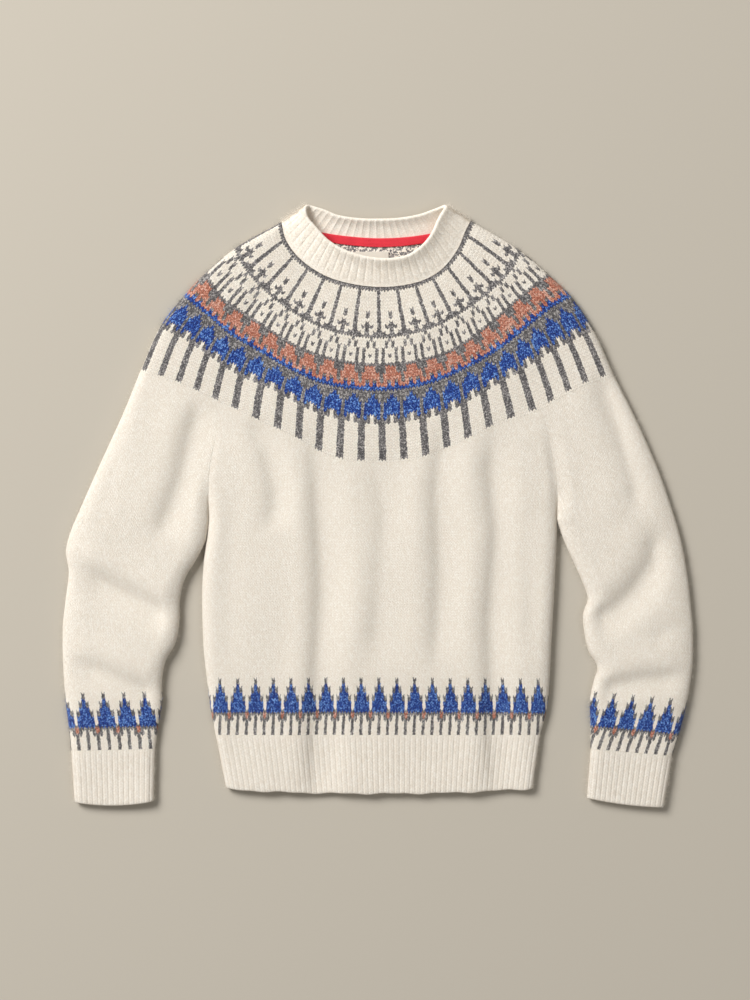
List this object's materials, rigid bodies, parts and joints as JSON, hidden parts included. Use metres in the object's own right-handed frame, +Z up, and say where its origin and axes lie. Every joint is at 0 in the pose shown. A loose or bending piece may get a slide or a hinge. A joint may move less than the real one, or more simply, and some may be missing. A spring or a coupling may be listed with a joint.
{
  "type": "fair isle jumper",
  "caption": "Long-sleeved knitted jumper laid flat, with a round colourwork yoke, small patterned bands above ribbed hem and cuffs, and a ribbed crew neck.",
  "frame": {"origin": "centre of the bounding box, on the surface the jumper lies on", "axes": "+X across from cuff to cuff, +Y from hem to neck, +Z up out of the surface; the front of the jumper faces +Z"},
  "size_m": [0.6632, 0.632, 0.0173],
  "materials": {
    "body_back": "cream brushed wool, plain knit",
    "body_front": "cream brushed wool, plain knit, with a band of small trees above the rib",
    "sleeve_left": "cream brushed wool, plain knit, with a band of small trees above the cuff",
    "sleeve_right": "cream brushed wool, plain knit, with a band of small trees above the cuff",
    "yoke": "stranded wool knit in cream, heather grey, heather blue and heather coral",
    "neck_rib": "cream wool rib",
    "hem_rib": "cream wool rib",
    "cuff_left": "cream wool rib",
    "cuff_right": "cream wool rib",
    "neck_tape": "red woven herringbone tape",
    "neck_label": "off-white woven label, left blank"
  },
  "bodies": {
    "root": {"body_back": "body_back", "body_front": "body_front", "sleeve_left": "sleeve_left", "sleeve_right": "sleeve_right", "yoke": "yoke", "neck_rib": "neck_rib", "hem_rib": "hem_rib", "cuff_left": "cuff_left", "cuff_right": "cuff_right", "neck_tape": "neck_tape", "neck_label": "neck_label"}
  },
  "joints": []
}
